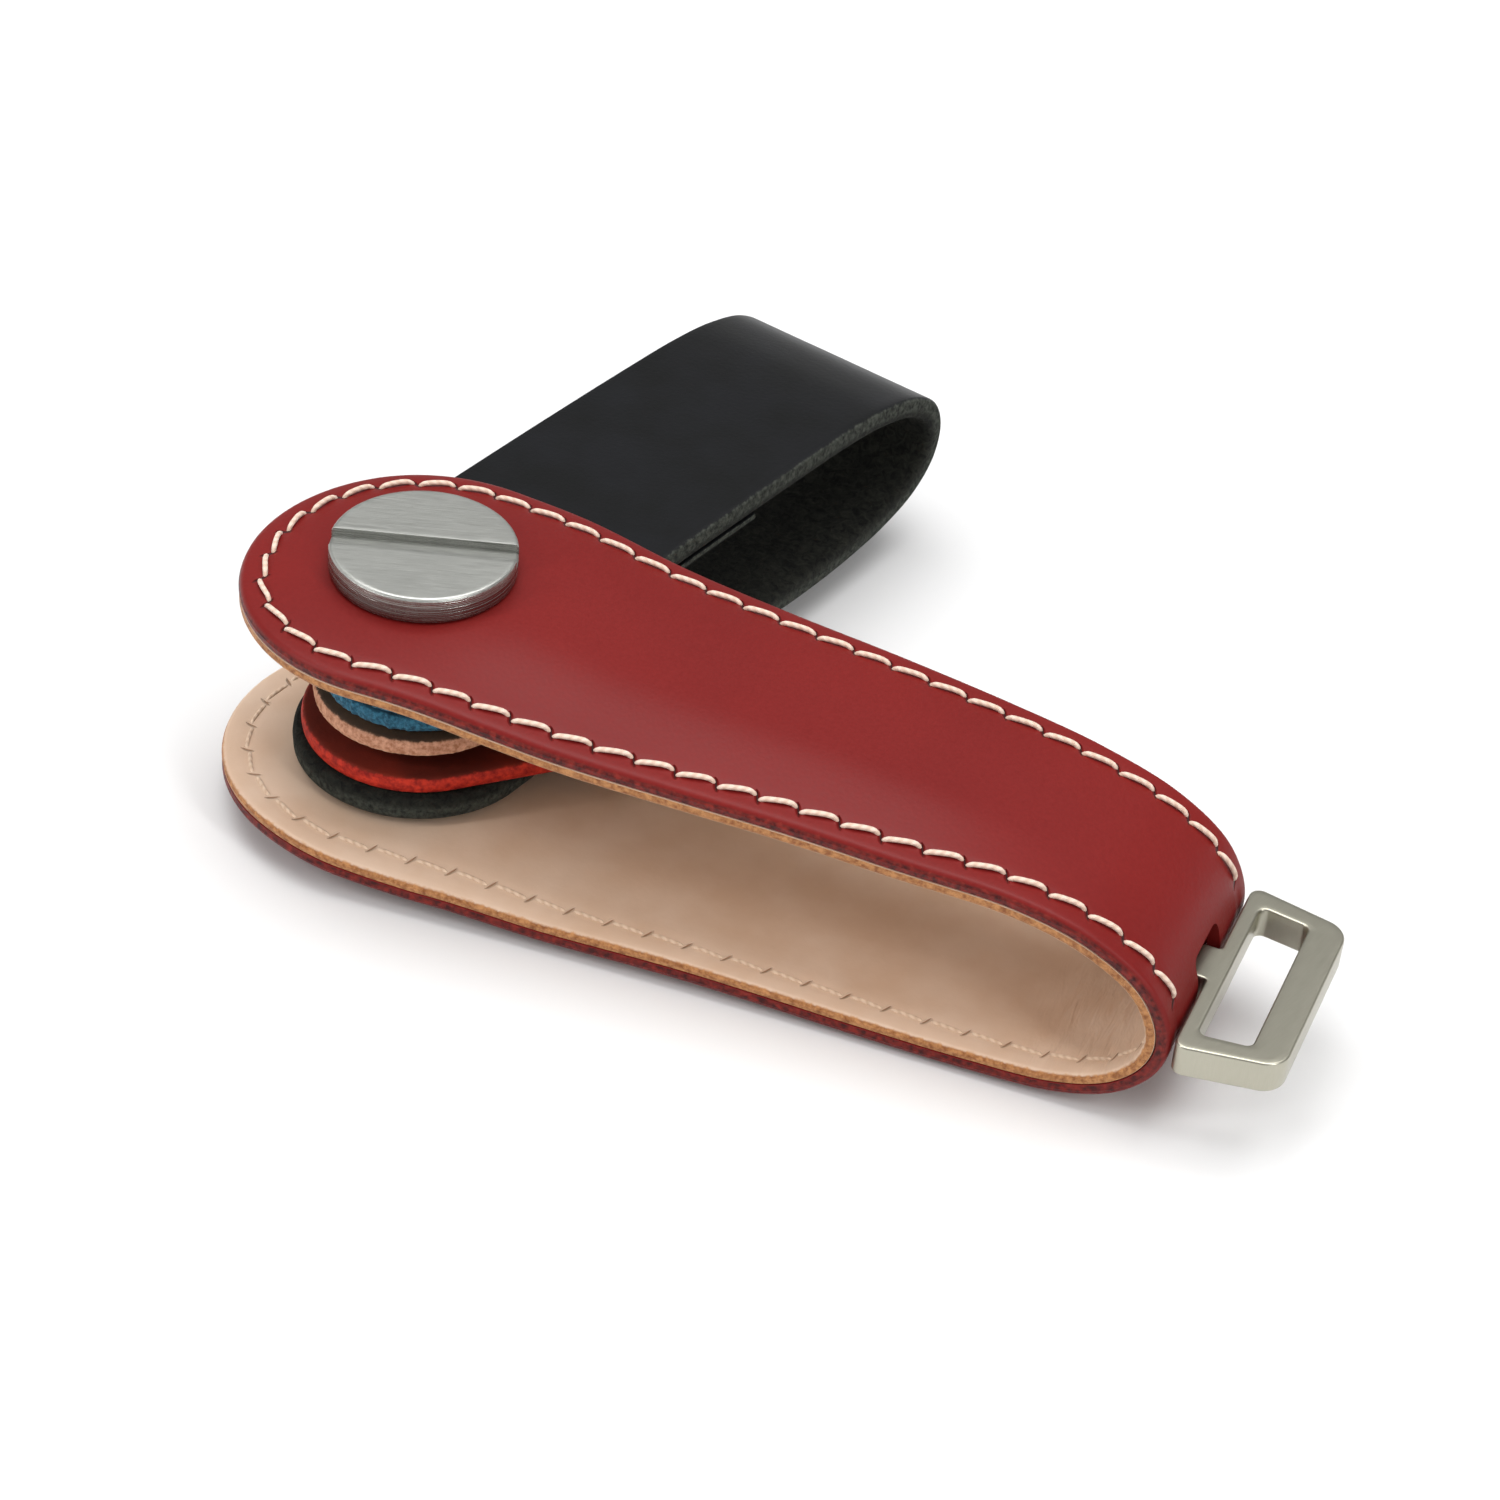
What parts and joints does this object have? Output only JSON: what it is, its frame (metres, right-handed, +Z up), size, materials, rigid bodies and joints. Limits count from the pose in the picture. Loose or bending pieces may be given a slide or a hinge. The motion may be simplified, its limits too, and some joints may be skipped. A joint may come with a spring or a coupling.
{
  "type": "leather key organiser",
  "caption": "Folding leather key organiser: stitched cover on a slotted binding screw, with a belt loop, leather spacers and a ring held in the fold.",
  "frame": {"origin": "middle of the lower screw head's flat outer face, on the binding screw's axis; the organiser stands on this face", "axes": "+Z up along the screw's axis; +X from the screw to the fold and its ring; +Y to the side the belt loop points to"},
  "size_m": [0.0984, 0.0816, 0.0274],
  "materials": {
    "leather_red": "pull-up grain, waxed, burnished edges",
    "leather_natural": "smooth vegetable-tanned grain, undyed",
    "thread_outside": "waxed linen thread",
    "thread_inside": "waxed linen thread",
    "pin_steel": "drawn wire",
    "steel": "face turned and brushed",
    "leather_black": "smooth grain, matt cut edges",
    "leather_black_split": "split, raw flesh side",
    "leather_scarlet": "dyed through, raw cut edge",
    "nickel": "satin nickel plate",
    "washer_steel": "stamped",
    "leather_spacer": "raw cut edge",
    "leather_natural_spacer": "raw cut edge, dark grain side",
    "suede_blue": "suede nap"
  },
  "bodies": {
    "cover": {"outer_cover": "leather_red", "cover_lining": "leather_natural", "needle_thread_upper": "thread_outside", "needle_thread_lower": "thread_outside", "bobbin_thread": "thread_inside", "anchor_pin": "pin_steel"},
    "post": {"binding_post": "steel"},
    "screw": {"binding_screw": "steel"},
    "loop": {"belt_loop": "leather_black", "loop_reinforcement": "leather_black_split"},
    "tab": {"leather_tab": "leather_scarlet"},
    "ring_body": {"ring": "nickel"},
    "bottom_washer_body": {"bottom_washer": "washer_steel"},
    "small_spacer_body": {"small_spacer": "leather_spacer"},
    "natural_spacer_body": {"natural_spacer": "leather_natural_spacer"},
    "blue_suede_spacer_body": {"blue_suede_spacer": "suede_blue"},
    "thick_spacer_body": {"thick_spacer": "suede_blue"},
    "top_spacer_body": {"top_spacer": "leather_spacer"}
  },
  "joints": [
    {"name": "loop_swing", "type": "hinge", "parent": "cover", "child": "loop", "pos_m": [0, 0, 0.0142], "axis": [0, 0, 1], "continuous": true},
    {"name": "tab_swing", "type": "hinge", "parent": "cover", "child": "tab", "pos_m": [0, 0, 0.0142], "axis": [0, 0, 1], "continuous": true},
    {"name": "screw_turn", "type": "hinge", "parent": "cover", "child": "screw", "pos_m": [0, 0, 0.0142], "axis": [0, 0, 1], "continuous": true},
    {"name": "post_turn", "type": "hinge", "parent": "cover", "child": "post", "pos_m": [0, 0, 0.0142], "axis": [0, 0, 1], "continuous": true},
    {"name": "bottom_washer_spin", "type": "hinge", "parent": "cover", "child": "bottom_washer_body", "pos_m": [0, 0, 0.0142], "axis": [0, 0, 1], "continuous": true},
    {"name": "small_spacer_spin", "type": "hinge", "parent": "cover", "child": "small_spacer_body", "pos_m": [0, 0, 0.0142], "axis": [0, 0, 1], "continuous": true},
    {"name": "natural_spacer_spin", "type": "hinge", "parent": "cover", "child": "natural_spacer_body", "pos_m": [0, 0, 0.0142], "axis": [0, 0, 1], "continuous": true},
    {"name": "blue_suede_spacer_spin", "type": "hinge", "parent": "cover", "child": "blue_suede_spacer_body", "pos_m": [0, 0, 0.0142], "axis": [0, 0, 1], "continuous": true},
    {"name": "thick_spacer_spin", "type": "hinge", "parent": "cover", "child": "thick_spacer_body", "pos_m": [0, 0, 0.0142], "axis": [0, 0, 1], "continuous": true},
    {"name": "top_spacer_spin", "type": "hinge", "parent": "cover", "child": "top_spacer_body", "pos_m": [0, 0, 0.0142], "axis": [0, 0, 1], "continuous": true},
    {"name": "ring_tilt", "type": "hinge", "parent": "cover", "child": "ring_body", "pos_m": [0.0699, 0, 0.009], "axis": [0, 1, 0], "range_deg": [-15, 15]}
  ]
}
